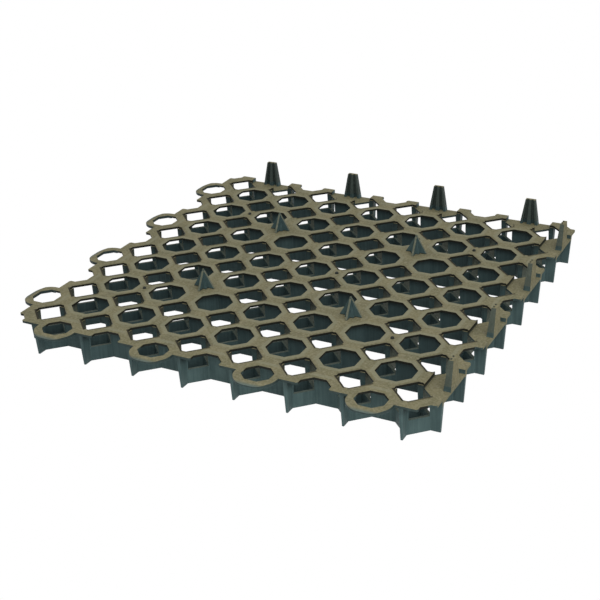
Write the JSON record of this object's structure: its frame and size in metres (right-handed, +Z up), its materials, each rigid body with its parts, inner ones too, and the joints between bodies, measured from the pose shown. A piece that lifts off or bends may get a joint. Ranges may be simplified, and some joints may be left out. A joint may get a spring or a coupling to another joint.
{
  "type": "grass paver grid",
  "caption": "Square moulded plastic ground grid of octagon and diamond cells, with edge loops and pegs that join tile to tile.",
  "frame": {"origin": "middle of the footprint, loops included, on the floor under the wall rims", "axes": "+Z up through the face plate, -Y and -X towards the edges with loops, +X and +Y towards the edges with pegs"},
  "size_m": [0.5224, 0.5224, 0.0667],
  "materials": {
    "moulded_plastic": "dull, slightly mottled grey-green moulded plastic, dusty tan on top"
  },
  "bodies": {
    "root": {"paver_grid": "moulded_plastic"}
  },
  "joints": []
}
